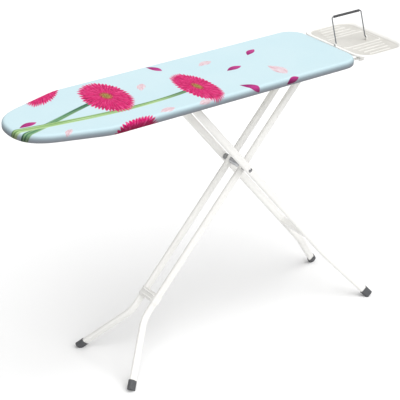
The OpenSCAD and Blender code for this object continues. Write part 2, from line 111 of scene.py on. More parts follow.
class Shader:
    """Builds one node tree. A value is a number, a tuple or another node's output."""

    def __init__(self, tree):
        self.tree = tree
        self.nodes = tree.nodes
        self.links = tree.links

    def put(self, socket, value):
        if isinstance(value, bpy.types.NodeSocket):
            self.links.new(value, socket)
        elif isinstance(value, (tuple, list)) and len(value) == 3 and socket.type == "RGBA":
            socket.default_value = (*value, 1.0)
        else:
            socket.default_value = value

    def math(self, operation, *values):
        node = self.nodes.new("ShaderNodeMath")
        node.operation = operation
        for socket, value in zip(node.inputs, values):
            self.put(socket, value)
        return node.outputs[0]

    def vector(self, operation, *values, out=0):
        node = self.nodes.new("ShaderNodeVectorMath")
        node.operation = operation
        for socket, value in zip(node.inputs, values):
            self.put(socket, value)
        return node.outputs[out]

    def add(self, a, b):
        return self.math("ADD", a, b)

    def sub(self, a, b):
        return self.math("SUBTRACT", a, b)

    def mul(self, a, b):
        return self.math("MULTIPLY", a, b)

    def smooth(self, value, low, high, to_low=0.0, to_high=1.0):
        node = self.nodes.new("ShaderNodeMapRange")
        node.interpolation_type = "SMOOTHSTEP"
        for name, v in (("Value", value), ("From Min", low), ("From Max", high),
                        ("To Min", to_low), ("To Max", to_high)):
            self.put(node.inputs[name], v)
        return node.outputs[0]

    def mix(self, factor, a, b, kind="MIX"):
        node = self.nodes.new("ShaderNodeMix")
        node.data_type = "RGBA"
        node.blend_type = kind
        self.put(node.inputs[0], factor)
        self.put(node.inputs[6], a)
        self.put(node.inputs[7], b)
        return node.outputs[2]

    def noise(self, vector, scale, detail, rough):
        node = self.nodes.new("ShaderNodeTexNoise")
        self.put(node.inputs["Vector"], vector)
        node.inputs["Scale"].default_value = scale
        node.inputs["Detail"].default_value = detail
        node.inputs["Roughness"].default_value = rough
        return node.outputs[0]

    def split(self, vector):
        node = self.nodes.new("ShaderNodeSeparateXYZ")
        self.put(node.inputs[0], vector)
        return node.outputs

    def join(self, x, y, z=0.0):
        node = self.nodes.new("ShaderNodeCombineXYZ")
        for socket, value in zip(node.inputs, (x, y, z)):
            self.put(socket, value)
        return node.outputs[0]

    def place(self):
        return self.nodes.new("ShaderNodeTexCoord").outputs["Object"]

    def bump(self, height, strength, distance):
        node = self.nodes.new("ShaderNodeBump")
        node.inputs["Strength"].default_value = strength
        node.inputs["Distance"].default_value = distance
        self.put(node.inputs["Height"], height)
        return node.outputs[0]


def new_material(name):
    material = bpy.data.materials.new(name)
    material.use_nodes = True
    shader = Shader(material.node_tree)
    surface = material.node_tree.nodes["Principled BSDF"]
    return material, shader, surface


# ---------- materials ----------

RUBBED_GREY = (0.55, 0.54, 0.52)
ORANGE_PEEL = 420.0     # bumps to the metre of sprayed enamel


def enamel(name, colour, shade, rough=0.34):
    """Sprayed and baked enamel: slight colour drift, orange peel and a few rubbed patches."""
    material, s, surface = new_material(name)
    place = s.place()
    drift = s.noise(place, 5.0, 3.0, 0.5)
    rubbed = s.smooth(s.noise(place, 85.0, 5.0, 0.65), 0.64, 0.74)
    tint = s.mix(s.smooth(drift, 0.35, 0.7), colour, shade)
    s.put(surface.inputs["Base Color"], s.mix(s.mul(rubbed, 0.06), tint, RUBBED_GREY))
    s.put(surface.inputs["Roughness"], s.add(rough, s.mul(rubbed, 0.16)))
    s.put(surface.inputs["Normal"], s.bump(s.noise(place, ORANGE_PEEL, 2.0, 0.5), 0.02, 0.001))
    surface.inputs["Coat Weight"].default_value = 0.25
    surface.inputs["Coat Roughness"].default_value = 0.18
    return material


def tray_paint():
    """Warm white enamel, with painted shade on the recessed floor and painted light on the ribs and
    the rim.
    """
    material, s, surface = new_material("tray_enamel")
    place = s.place()
    # Painted light and shade: the one enamel is painted darker on the floor and brighter as it
    # rises onto the ribs and the rim
    raised = s.smooth(s.split(place)[2], TRAY_FLOOR + 0.0002, TRAY_FLOOR + 0.0044)
    drift = s.smooth(s.noise(place, 9.0, 4.0, 0.6), 0.35, 0.7)
    recess_painted_shade = s.mix(drift, (0.630, 0.615, 0.575), (0.570, 0.555, 0.515))
    rim = s.mix(drift, (0.89, 0.88, 0.85), (0.85, 0.84, 0.81))
    s.put(surface.inputs["Base Color"], s.mix(raised, recess_painted_shade, rim))
    s.put(surface.inputs["Roughness"], s.add(0.34, s.mul(drift, 0.14)))
    s.put(surface.inputs["Normal"], s.bump(s.noise(place, ORANGE_PEEL, 2.0, 0.5), 0.03, 0.001))
    return material


DRAWN_ALONG_Y = (900.0, 30.0, 900.0)


def plated(name, colour, rough):
    """Zinc plate or chrome with fine drawing lines along Y."""
    material, s, surface = new_material(name)
    place = s.place()
    lines = s.noise(s.vector("MULTIPLY", place, DRAWN_ALONG_Y), 1.0, 3.0, 0.6)
    cloud = s.noise(place, 45.0, 4.0, 0.6)
    dull = tuple(c * 0.80 for c in colour)
    s.put(surface.inputs["Base Color"], s.mix(s.smooth(cloud, 0.35, 0.7), colour, dull))
    s.put(surface.inputs["Roughness"], s.add(rough, s.mul(lines, 0.14)))
    s.put(surface.inputs["Normal"], s.bump(lines, 0.05, 0.0005))
    surface.inputs["Metallic"].default_value = 1.0
    return material


def plastic(name, colour, rough=0.5, grain=0.18):
    """Moulded plastic or rubber with a fine spark-eroded grain and worn, paler patches."""
    material, s, surface = new_material(name)
    place = s.place()
    pores = s.noise(place, 1400.0, 2.0, 0.6)
    worn = s.smooth(s.noise(place, 50.0, 5.0, 0.7), 0.52, 0.75)
    pale = tuple(min(1.0, c * 1.7 + 0.02) for c in colour)
    s.put(surface.inputs["Base Color"], s.mix(s.mul(worn, 0.5), colour, pale))
    s.put(surface.inputs["Roughness"], s.add(rough, s.mul(pores, 0.15)))
    s.put(surface.inputs["Normal"], s.bump(pores, grain, 0.0004))
    return material


def foam():
    """Open cells, with painted shade in their middles and pale walls."""
    material, s, surface = new_material("open_cell_foam")
    place = s.place()
    cells = s.nodes.new("ShaderNodeTexVoronoi")
    s.put(cells.inputs["Vector"], place)
    cells.inputs["Scale"].default_value = 700.0
    depth = cells.outputs["Distance"]
    # Painted shade in the hollows of the cells
    s.put(surface.inputs["Base Color"],
          s.mix(s.smooth(depth, 0.1, 0.6), (0.50, 0.49, 0.42), (0.82, 0.81, 0.73)))
    s.put(surface.inputs["Normal"], s.bump(depth, 0.6, 0.001))
    surface.inputs["Roughness"].default_value = 0.95
    return material


# The cover's print: daisies on long stems with loose petals, placed on the flat cloth.
# The cloth's own X and Y before it went round the board's edge are stored on its mesh, with
# the distance past the top's edge as the third value.
FLAT = "flat"

PALE_BLUE = (0.545, 0.710, 0.760)
PALER_BLUE = (0.565, 0.722, 0.768)
# Painted shade for the cover's side, and a darker painted shade for the hem under the rim
SIDE_PAINTED_SHADE = (0.45, 0.44, 0.46)
HEM_PAINTED_SHADE = (0.32, 0.27, 0.28)
PINK = (0.62, 0.004, 0.130)
DEEP_PINK = (0.17, 0.001, 0.032)
LIGHT_PINK = (0.86, 0.150, 0.390)
EYE_RED = (0.26, 0.010, 0.030)
EYE_ORANGE = (0.72, 0.27, 0.14)
CORE_BROWN = (0.150, 0.085, 0.015)
CORE_YELLOW = (0.46, 0.34, 0.09)
ROSE = (0.66, 0.32, 0.37)
PALE_ROSE = (0.78, 0.66, 0.70)
PURPLE = (0.30, 0.010, 0.145)
MAGENTA = (0.52, 0.05, 0.25)
DARK_STEM = (0.035, 0.120, 0.070)

# Each daisy: its middle, its two half axes as vectors, and how far its eye stands off the
# middle along the second of them
DAISIES = [
    ((-0.340, 0.028), (0.047, -0.081), (-0.054, -0.085), -0.11),
    ((-0.085, -0.058), (0.028, -0.099), (-0.045, -0.063), -0.05),
    ((-0.474, 0.162), (0.062, 0.001), (-0.048, -0.084), -0.20),
    ((-0.383, -0.210), (0.080, -0.005), (-0.044, -0.066), 0.10),
]

# Each layer of a daisy's petals, from the outside: count, reach, depth of the notches, turn
LAYERS = [
    (46, 0.98, 0.15, 0.0),
    (42, 0.77, 0.20, 1.3),
    (38, 0.57, 0.24, 2.1),
    (34, 0.38, 0.32, 0.7),
]

# Each stem: points from its daisy to the nose, its half width at both ends, and its shades
STEMS = [
    ([(-0.393, 0.018), (-0.499, -0.018), (-0.589, -0.050), (-0.680, -0.072)], (0.0092, 0.0130),
     ((0.030, 0.110, 0.060), (0.105, 0.270, 0.130), (0.36, 0.53, 0.30))),
    ([(-0.128, -0.066), (-0.321, -0.077), (-0.546, -0.052), (-0.677, -0.030)], (0.0088, 0.0130),
     ((0.110, 0.230, 0.060), (0.310, 0.500, 0.200), (0.50, 0.68, 0.36))),
]

# Each loose petal: middle, length, direction in degrees, and whether it is dark
PETALS = [
    ((-0.617, -0.012), 0.060, 8, True),
    ((-0.107, 0.130), 0.060, -66, True),
    ((0.207, 0.074), 0.058, 32, True),
    ((0.086, -0.003), 0.062, 9, True),
    ((0.042, -0.146), 0.072, -56, True),
    ((0.182, -0.168), 0.050, 15, True),
    ((-0.550, -0.117), 0.040, 39, False),
    ((-0.219, 0.033), 0.056, 54, False),
    ((-0.251, -0.146), 0.056, 6, False),
    ((0.038, 0.079), 0.058, 13, False),
    ((0.190, -0.087), 0.088, -85, False),
    ((-0.130, -0.158), 0.046, 5, False),
]


def local_axes(along, across):
    """Two vectors whose dot products with a point give its place on the two half axes."""
    det = along[0] * across[1] - along[1] * across[0]
    return (
        (across[1] / det, -across[0] / det, 0.0),
        (-along[1] / det, along[0] / det, 0.0),
    )


def add_daisy(s, base, place, middle, along, across, eye_shift, seed):
    """Layers of narrow petals round a speckled eye. Returns the new colour."""
    here = s.vector("SUBTRACT", place, (*middle, 0.0))
    row_u, row_v = local_axes(along, across)
    u = s.vector("DOT_PRODUCT", here, row_u, out=1)
    v = s.vector("DOT_PRODUCT", here, row_v, out=1)
    outer = s.math("MINIMUM", 1.0, s.add(s.mul(u, u), s.mul(v, v)))
    v = s.sub(v, s.mul(eye_shift, s.sub(1.0, outer)))
    radius = s.math("SQRT", s.add(s.mul(u, u), s.mul(v, v)))
    angle = s.math("ARCTAN2", v, u)
    cos, sin = s.math("COSINE", angle), s.math("SINE", angle)
    wobble = s.noise(s.join(cos, sin, seed), 2.6, 2.0, 0.5)
    rays = s.join(s.mul(cos, 21.0), s.mul(sin, 21.0), s.add(s.mul(radius, 3.0), seed))
    fine = s.noise(rays, 1.0, 3.0, 0.7)
    colour = base
    for count, reach, notch, turn in LAYERS:
        wave = s.math("ABSOLUTE", s.math("COSINE", s.add(
            s.mul(angle, count / 2), s.add(turn, s.mul(wobble, 4.0)))))
        tip = s.mul(s.add(1.0 - notch, s.mul(s.math("POWER", wave, 0.7), notch)),
                    s.add(reach * 0.83, s.mul(s.add(wobble, fine), reach * 0.17)))
        inside = s.smooth(s.sub(tip, radius), -0.03, 0.03)
        share = s.math("DIVIDE", radius, tip)
        lit = s.mul(s.smooth(fine, 0.55, 0.65), s.smooth(share, 0.25, 0.85))
        deep = s.smooth(s.add(fine, s.mul(wave, 0.10)), 0.42, 0.56, 1.0, 0.0)
        root = s.smooth(s.sub(share, reach * 0.3), 0.15, 0.65, 1.0, 0.0)
        petal = s.mix(s.math("MAXIMUM", s.mul(deep, 0.85), s.mul(root, 0.60)), PINK, DEEP_PINK)
        petal = s.mix(s.math("MAXIMUM", s.mul(lit, 0.80), s.smooth(share, 0.90, 1.0, 0.0, 0.25)),
                      petal, LIGHT_PINK)
        colour = s.mix(inside, colour, petal)
    grain = s.noise(s.vector("MULTIPLY", here, (330.0, 330.0, 1.0)), 1.0, 2.0, 0.7)
    eye = s.mix(s.smooth(grain, 0.49, 0.58), EYE_RED, EYE_ORANGE)
    core = s.mix(s.smooth(grain, 0.44, 0.58), CORE_BROWN, CORE_YELLOW)
    eye = s.mix(s.smooth(s.add(radius, s.mul(grain, 0.08)), 0.15, 0.21, 1.0, 0.0), eye, core)
    return s.mix(s.smooth(s.add(radius, s.mul(grain, 0.12)), 0.25, 0.33, 1.0, 0.0), colour, eye)


def through_points(points):
    """Coefficients c0..c3 of the cubic y(x) through four points."""
    rows = [[x ** k for k in range(4)] + [y] for x, y in points]
    for i in range(4):
        pivot = rows[i][i]
        rows[i] = [value / pivot for value in rows[i]]
        for j in range(4):
            if j != i:
                rows[j] = [a - rows[j][i] * b for a, b in zip(rows[j], rows[i])]
    return [row[4] for row in rows]


def add_stem(s, base, place, points, widths, colours):
    """A streaked stem along a cubic curve, dark beside its daisy. Returns the new colour."""
    c0, c1, c2, c3 = through_points(points)
    x, y, _ = s.split(place)
    middle = s.add(c0, s.mul(x, s.add(c1, s.mul(x, s.add(c2, s.mul(x, c3))))))
    off = s.sub(y, middle)
    start, end = points[0][0], points[-1][0]
    width = s.smooth(x, end, start, widths[1], widths[0])
    share = s.math("DIVIDE", off, width)
    inside = s.smooth(s.math("ABSOLUTE", share), 0.80, 1.10, 1.0, 0.0)
    inside = s.mul(inside, s.smooth(x, start - 0.002, start + 0.004, 1.0, 0.0))
    streak = s.noise(s.join(s.mul(x, 5.0), s.mul(share, 2.6), start), 1.0, 2.0, 0.5)
    shade = s.add(streak, s.mul(share, -0.10))
    dark, green, pale = colours
    colour = s.mix(s.smooth(shade, 0.36, 0.50), dark, green)
    colour = s.mix(s.smooth(shade, 0.50, 0.64), colour, pale)
    colour = s.mix(s.smooth(x, start - 0.13, start, 0.0, 0.75), colour, DARK_STEM)
    return s.mix(inside, base, colour)


def add_petal(s, base, place, middle, length, degrees, dark):
    """One loose petal, pointed at both ends and a little curved. Returns the new colour."""
    turn = math.radians(degrees)
    half_l, half_w = length / 2, length * (0.22 if dark else 0.26)
    along = (math.cos(turn) * half_l, math.sin(turn) * half_l)
    across = (-math.sin(turn) * half_w, math.cos(turn) * half_w)
    here = s.vector("SUBTRACT", place, (*middle, 0.0))
    row_u, row_v = local_axes(along, across)
    u = s.vector("DOT_PRODUCT", here, row_u, out=1)
    v = s.vector("DOT_PRODUCT", here, row_v, out=1)
    v = s.add(v, s.mul(0.25, s.mul(u, u)))
    blade = s.mul(s.math("MAXIMUM", 0.0, s.sub(1.0, s.mul(u, u))), s.add(0.95, s.mul(0.30, u)))
    inside = s.smooth(s.sub(blade, s.math("ABSOLUTE", v)), 0.0, 0.15)
    veins = s.noise(s.join(s.mul(u, 1.2), s.mul(v, 9.0), middle[0]), 1.0, 2.0, 0.5)
    if dark:
        colour = s.mix(s.smooth(s.add(veins, s.mul(u, 0.25)), 0.30, 0.75), PURPLE, MAGENTA)
        strength = 1.0
    else:
        colour = s.mix(s.smooth(veins, 0.38, 0.58), ROSE, PALE_ROSE)
        strength = 0.85
    return s.mix(s.mul(inside, strength), base, colour)


THREAD_PITCH = 0.00065  # plain weave, about 15 threads to the centimetre


def printed_cotton():
    """The print on a plain weave, with painted shade round the cover's side and in the weave."""
    material, s, surface = new_material("printed_cotton")
    solid = s.place()
    flat = s.nodes.new("ShaderNodeAttribute")
    flat.attribute_name = FLAT
    place = flat.outputs["Vector"]
    cloud = s.noise(place, 6.0, 3.0, 0.5)
    colour = s.mix(s.smooth(cloud, 0.3, 0.7), PALE_BLUE, PALER_BLUE)
    for petal in PETALS:
        colour = add_petal(s, colour, place, *petal)
    for stem in STEMS:
        colour = add_stem(s, colour, place, *stem)
    for i, daisy in enumerate(DAISIES):
        colour = add_daisy(s, colour, place, *daisy, seed=3.7 * i)
    x, y, over = s.split(place)
    # Painted shade: the cover's side is darkened, darker and greyer towards the hem
    side = s.smooth(over, EDGE_R * 0.2, EDGE_R * 1.7)
    hem_shade_share = s.smooth(over, EDGE_R * 1.2, 0.026)
    side_shade_colour = s.mix(hem_shade_share, SIDE_PAINTED_SHADE, HEM_PAINTED_SHADE)
    colour = s.mix(side, colour, s.mix(1.0, colour, side_shade_colour, "MULTIPLY"))
    warp = s.math("SINE", s.mul(y, 2 * math.pi / THREAD_PITCH))
    weft = s.math("SINE", s.mul(x, 2 * math.pi / THREAD_PITCH))
    weave = s.mul(s.add(s.mul(warp, weft), 1.0), 0.5)
    slub = s.noise(s.vector("MULTIPLY", solid, (40.0, 900.0, 900.0)), 1.0, 2.0, 0.6)
    thread = s.add(s.mul(weave, 0.6), s.mul(slub, 0.4))
    # Painted shade: the cloth is up to 3.5% darker where the weave's threads and slubs sit low
    weave_painted_shade = s.smooth(thread, 0.1, 0.9, 0.965, 1.0)
    s.put(surface.inputs["Base Color"],
          s.mix(1.0, colour, s.join(weave_painted_shade, weave_painted_shade, weave_painted_shade), "MULTIPLY"))
    s.put(surface.inputs["Normal"], s.bump(thread, 0.22, 0.0003))
    surface.inputs["Roughness"].default_value = 0.82
    surface.inputs["Specular IOR Level"].default_value = 0.15
    surface.inputs["Sheen Weight"].default_value = 0.06
    surface.inputs["Sheen Roughness"].default_value = 0.45
    return material


CREAM = enamel("cream_enamel", (0.82, 0.815, 0.79), (0.79, 0.78, 0.755))
TRAY_ENAMEL = tray_paint()
ZINC = plated("zinc_plate", (0.66, 0.67, 0.69), 0.30)
CHROME = plated("rivet_chrome", (0.30, 0.30, 0.31), 0.12)
GREY_WIRE = enamel("grey_wire_enamel", (0.165, 0.17, 0.18), (0.20, 0.205, 0.215), 0.30)
ARM_ENAMEL = enamel("arm_enamel", (0.82, 0.82, 0.80), (0.77, 0.77, 0.75), 0.35)
GREY_PLASTIC = plastic("grey_plastic", (0.13, 0.135, 0.14))
DARK_PLASTIC = plastic("dark_plastic", (0.045, 0.046, 0.05), 0.42)
WASHER_PLASTIC = plastic("washer_plastic", (0.26, 0.265, 0.27), 0.45)
RUBBER = plastic("foot_rubber", (0.075, 0.077, 0.082), 0.62, 0.3)
FOAM = foam()
CORD = plastic("cord_cotton", (0.60, 0.68, 0.70), 0.85, 0.5)
COTTON = printed_cotton()

CAD_LOOKS = {
    CREAM: ["rim_frame", "cross_bar_nose", "cross_bar_mid", "cross_bar_hinge", "cross_bar_tail",
            "hinge_ear_left", "hinge_ear_right", "guide_rail_left", "guide_rail_right",
            "lever_bracket", "inner_tube_left", "inner_tube_right", "inner_head_tube",
            "inner_saddle", "outer_tube_left", "outer_tube_right", "outer_cross_plate",
            "rest_clips"],
    ZINC: ["hinge_pin", "height_rack_left", "height_rack_right", "fitting_rivets", "lever_pin",
           "height_lever", "inner_spacer", "slide_bar", "pivot_rod"],
    CHROME: ["pivot_head_left", "pivot_head_right"],
    WASHER_PLASTIC: ["pivot_washer_left", "pivot_washer_right"],
    GREY_PLASTIC: ["lever_grip"],
    DARK_PLASTIC: ["slide_bush_left", "slide_bush_right", "rest_arm_caps"],
    RUBBER: ["inner_foot_left", "inner_foot_right", "outer_foot_left", "outer_foot_right"],
    ARM_ENAMEL: ["rest_arm_left", "rest_arm_right"],
    TRAY_ENAMEL: ["hoop_clips"],
}

# Edge rounding of the CAD pieces, in metres
ROUNDING = {
    0.0003: ["rim_frame", "hinge_ear_left", "hinge_ear_right", "guide_rail_left",
             "guide_rail_right", "lever_bracket", "height_rack_left", "height_rack_right",
             "height_lever", "hoop_clips", "outer_cross_plate"],
    0.0008: ["cross_bar_nose", "cross_bar_mid", "cross_bar_hinge", "cross_bar_tail", "rest_clips"],
    0.0025: ["inner_foot_left", "inner_foot_right", "outer_foot_left", "outer_foot_right",
             "lever_grip"],
}


def dress_cad():
    """Materials for the CAD nodes, and rounded edges where they have sharp ones."""
    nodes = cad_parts
    for material, names in CAD_LOOKS.items():
        for name in names:
            piece = nodes[name]
            piece.data.materials.clear()
            piece.data.materials.append(material)
    for width, names in ROUNDING.items():
        for name in names:
            weld = nodes[name].modifiers.new("weld", "WELD")
            weld.merge_threshold = 0.00001
            bevel = nodes[name].modifiers.new("round", "BEVEL")
            bevel.width = width
            bevel.segments = 3
            bevel.limit_method = "ANGLE"
            bevel.angle_limit = math.radians(40)
            bevel.use_clamp_overlap = True


dress_cad()


# ---------- mesh helpers ----------

def make_piece(name, points, faces, material, body, smooth=True):
    mesh = bpy.data.meshes.new(name)
    mesh.from_pydata([tuple(p) for p in points], [], faces)
    mesh.update()
    mesh.materials.append(material)
    if smooth:
        mesh.shade_smooth()
        mesh.set_sharp_from_angle(angle=math.radians(50))
    piece = bpy.data.objects.new(name, mesh)
    bpy.context.scene.collection.objects.link(piece)
    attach(piece, body)
    return piece


def mix(a, b, t):
    return a + (b - a) * t


def bezier(a, b, c, d, t):
    ab, bc, cd = mix(a, b, t), mix(b, c, t), mix(c, d, t)
    return mix(mix(ab, bc, t), mix(bc, cd, t), t)


def half_outline(steps=18):
    """From the tail's middle round to the nose's tip, on the +Y side."""
    kink = Vector((NOSE_X + TAPER_LEN, HALF_W))
    shoulder = Vector((NOSE_X + ROUND_LEN, ROUND_Y))
    along = (shoulder - kink).normalized()
    ease_a = kink + Vector((EASE_LEN, 0.0))
    ease_b = kink + along * EASE_LEN
    corner = Vector((TAIL_X - TAIL_R, HALF_W - TAIL_R))
    points = [Vector((TAIL_X, 0.0))]
    points += [corner + TAIL_R * Vector((math.cos(t), math.sin(t)))
               for t in (math.pi / 2 * i / steps for i in range(steps + 1))]
    points += [bezier(ease_a, mix(ease_a, kink, 0.66), mix(ease_b, kink, 0.66), ease_b, i / 8)
               for i in range(9)]
    before_tip, tip = Vector((NOSE_X, ROUND_Y * 0.55)), Vector((NOSE_X, 0.0))
    points += [bezier(shoulder, shoulder + along * ROUND_LEN * 0.7, before_tip, tip, i / steps)
               for i in range(steps + 1)]
    return points


def spaced(points, gap):
    """The line through the points, cut into equal steps of about that gap."""
    lengths = [0.0]
    for a, b in zip(points, points[1:]):
        lengths.append(lengths[-1] + (b - a).length)
    count = max(2, round(lengths[-1] / gap))
    found, k = [], 0
    for i in range(count + 1):
        want = lengths[-1] * i / count
        while k < len(points) - 2 and lengths[k + 1] < want:
            k += 1
        share = (want - lengths[k]) / max(1e-9, lengths[k + 1] - lengths[k])
        found.append(mix(points[k], points[k + 1], share))
    return found


def board_outline(gap):
    half = spaced(half_outline(), gap)
    return half + [Vector((p.x, -p.y)) for p in reversed(half[1:-1])]


def inset(points, distance):
    """The closed outline moved inwards, each point square to its neighbours' line."""
    count = len(points)
    moved = []
    for i, p in enumerate(points):
        along = (points[(i + 1) % count] - points[i - 1]).normalized()
        moved.append(p + Vector((-along.y, along.x)) * distance)
    return moved


def bridge(rings):
    """Quads between closed rings of equal length, given as lists of vertex numbers."""
    faces = []
    for low, high in zip(rings, rings[1:]):
        count = len(low)
        for i in range(count):
            j = (i + 1) % count
            faces.append((low[i], low[j], high[j], high[i]))
    return faces


def add_ring(points, ring):
    first = len(points)
    points.extend(ring)
    return list(range(first, first + len(ring)))


def section_rings(outline, section):
    """Rings round an outline: section is a list of (distance inwards, height)."""
    return [[Vector((p.x, p.y, z)) for p in inset(outline, d)] for d, z in section]


def arc(middle, radius, start, end, steps):
    """Points (distance, height) on an arc, angles in degrees."""
    turns = (math.radians(start + (end - start) * i / steps) for i in range(steps + 1))
    return [(middle[0] + radius * math.cos(t), middle[1] + radius * math.sin(t)) for t in turns]


def apply_modifiers(piece):
    graph = bpy.context.evaluated_depsgraph_get()
    mesh = bpy.data.meshes.new_from_object(piece.evaluated_get(graph))
    piece.modifiers.clear()
    piece.data = mesh


def clean_mesh(piece, merge=0.0):
    """Merges points closer than that distance and turns all faces outwards."""
    bm = bmesh.new()
    bm.from_mesh(piece.data)
    if merge:
        bmesh.ops.remove_doubles(bm, verts=bm.verts, dist=merge)
    bmesh.ops.recalc_face_normals(bm, faces=bm.faces)
    bm.to_mesh(piece.data)
    bm.free()


def swept(name, path, radius, material, body, sides=16):
    """A round wire along a path of points."""
    points, rings = [], []
    across = None
    for i, p in enumerate(path):
        along = (path[min(i + 1, len(path) - 1)] - path[max(i - 1, 0)]).normalized()
        if across is None:
            across = along.orthogonal().normalized()
        across = (across - along * across.dot(along)).normalized()
        side = along.cross(across)
        ring = [p + radius * (across * math.cos(t) + side * math.sin(t))
                for t in (2 * math.pi * k / sides for k in range(sides))]
        rings.append(add_ring(points, ring))
    faces = bridge(rings) + [tuple(reversed(rings[0])), tuple(rings[-1])]
    return make_piece(name, points, faces, material, body)


# ---------- the cover ----------

GRID = 0.008            # spacing of the cover's points round the edge
LOW_R = 0.004           # rounding under the rim
SIDE_TUCK = 0.0006      # the cover stands inside its CAD solid by this much at the sides
SKIN = 0.0004           # and by this much above and below
PAD_UNDER = 0.0013      # the pad's edge stands under the cover by this much
HEM_RINGS = 5           # rings of points on the hem, under the rim
PINNED_RINGS = 7        # rings that the simulation holds still


def cover_section():
    """From the hem's inner edge, under the rim, up the side and onto the top.

    Each step is (distance inwards, height)."""
    under = [(HEM_W - 0.004 * i, HEM_Z + SKIN) for i in range(HEM_RINGS)]
    low = arc((LOW_R + SIDE_TUCK, HEM_Z + SKIN + LOW_R), LOW_R, 270, 180, 4)
    side_low, side_high = HEM_Z + SKIN + LOW_R, TOP_Z - SKIN - EDGE_R
    side = [(SIDE_TUCK, mix(side_low, side_high, i / 4)) for i in range(1, 4)]
    high = arc((EDGE_R + SIDE_TUCK, side_high), EDGE_R, 180, 90, 6)
    return under + low + side + high


def cover_mesh():
    """The cover's cloth as rings round the edge and a quilt of rings shrinking to the middle line.

    Returns its points, their places on the flat cloth, its faces and its ring counts."""
    outline = board_outline(GRID)
    section = cover_section()
    rings = section_rings(outline, section)
    edge, height = section[-1]
    flat, run = [], 0.0
    for d, z in reversed(section):
        run += math.hypot(d - edge, z - height)
        flat.insert(0, [Vector((p.x, p.y, run)) for p in inset(outline, section[-1][0] - run)])
        edge, height = d, z
    last = inset(outline, section[-1][0])
    spine = [Vector((min(max(p.x, NOSE_X + 0.16), TAIL_X - 0.155), 0.0)) for p in last]
    steps = 18
    for i in range(1, steps + 1):
        share = i / steps
        rings.append([Vector((*mix(a, b, share), TOP_Z - SKIN)) for a, b in zip(last, spine)])
        flat.append([Vector((p.x, p.y, 0.0)) for p in rings[-1]])
    points, numbers = [], []
    for ring in rings:
        numbers.append(add_ring(points, ring))
    return points, [p for ring in flat for p in ring], bridge(numbers), len(section), len(outline)


def crumple(piece, edge_rings, ring_len, seed):
    """Gathers from the hem's drawn cord: folds that fade out up the side."""
    rand = random.Random(seed)
    waves = [(rand.uniform(60, 190), rand.uniform(0, 6.28), rand.uniform(0.4, 1.0))
             for _ in range(9)]
    for k, vertex in enumerate(piece.data.vertices):
        ring, i = divmod(k, ring_len)
        if ring >= edge_rings:
            continue
        turn = i / ring_len * 2 * math.pi
        fold = sum(a * math.sin(turn * f + p) for f, p, a in waves) / len(waves)
        fade = 1.0 - ring / edge_rings
        if ring < HEM_RINGS:
            vertex.co.z += 0.0012 * fold * fade
        else:
            outward = vertex.normal.copy()
            outward.z = 0
            vertex.co += outward * (0.0007 * fold * fade)


def simulate(piece, pinned, pressure, frames, cap, shrink):
    """Cloth with light pressure and no gravity; no point moves by more than the cap."""
    group = piece.vertex_groups.new(name="pinned")
    group.add(pinned, 1.0, "ADD")
    rest = [v.co.copy() for v in piece.data.vertices]
    cloth = piece.modifiers.new("cloth", "CLOTH")
    settings = cloth.settings
    settings.vertex_group_mass = "pinned"
    settings.quality = 6
    settings.mass = 0.2
    settings.tension_stiffness = 30
    settings.compression_stiffness = 30
    settings.shear_stiffness = 10
    settings.bending_stiffness = 0.6
    settings.use_pressure = True
    settings.uniform_pressure_force = pressure
    settings.shrink_min = shrink
    settings.effector_weights.gravity = 0.0
    cloth.point_cache.frame_end = frames
    scene = bpy.context.scene
    for number in range(1, frames + 1):
        scene.frame_set(number)
    apply_modifiers(piece)
    for vertex, home in zip(piece.data.vertices, rest):
        move = vertex.co - home
        if move.length > cap:
            vertex.co = home + move * (cap / move.length)
    scene.frame_set(1)
    piece.vertex_groups.clear()


def make_cover():
    """The cotton, its print's places, its weave's thickness and its flat size."""
    points, flat, faces, edge_rings, ring_len = cover_mesh()
    cover = make_piece("cover_cloth", points, faces, COTTON, "board")
    held = [k for k in range(len(points)) if k // ring_len < PINNED_RINGS]
    simulate(cover, held, 0.6, 20, 0.0016, shrink=-0.006)
    crumple(cover, edge_rings, ring_len, 11)
    places = cover.data.attributes.new(FLAT, "FLOAT_VECTOR", "POINT")
    for item, place in zip(places.data, flat):
        item.vector = place
    clean_mesh(cover, merge=0.0002)
    cover.data.shade_smooth()
    divide = cover.modifiers.new("divide", "SUBSURF")
    divide.levels = divide.render_levels = 1
    thick = cover.modifiers.new("thick", "SOLIDIFY")
    thick.thickness = 0.0006
    thick.offset = -1.0
    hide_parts("cover")


def hem_cord_path():
    """The closed line of the drawn cord along the hem's inner edge."""
    path = [Vector((p.x, p.y, HEM_Z + 0.0022))
            for p in inset(board_outline(0.01), HEM_W + 0.0008)]
    path.append(path[0])
    return path


def make_pad():
    """Foam whose rounded edge keeps an even distance under the cover."""
    outline = board_outline(0.012)
    low = PAD_Z + 0.0002
    middle_z = TOP_Z - SKIN - EDGE_R
    radius = EDGE_R - PAD_UNDER
    turn = 180 - math.degrees(math.asin((low - middle_z) / radius))
    section = [(0.030, low), (0.015, low)]
    section += arc((EDGE_R + SIDE_TUCK, middle_z), radius, turn, 90, 7)
    section.append((0.030, middle_z + radius))
    points, numbers = [], []
    for ring in section_rings(outline, section):
        numbers.append(add_ring(points, ring))
    faces = bridge(numbers)
    half = len(outline) // 2
    for ring, flip in ((numbers[0], True), (numbers[-1], False)):
        for i in range(half):
            quad = (ring[i], ring[i + 1], ring[-i - 1], ring[-i if i else 0])
            quad = tuple(dict.fromkeys(quad))
            if len(quad) >= 3:
                faces.append(tuple(reversed(quad)) if flip else quad)
    pad = make_piece("pad_foam", points, faces, FOAM, "board")
    clean_mesh(pad)
    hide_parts("foam_pad")


# ---------- the expanded metal top ----------

CELL_L = 0.024
CELL_W = 0.011
HOLE = 0.70             # how much of a cell its hole takes
BORDER = 0.034          # inner edge of the plain border, from the outline


def inside_outline(outline, x, y):
    """Whether the point is inside, by counting the outline's crossings beside it."""
    found = False
    for a, b in zip(outline, outline[1:] + outline[:1]):
        if (a.y > y) != (b.y > y) and x < a.x + (y - a.y) / (b.y - a.y) * (b.x - a.x):
            found = not found
    return found


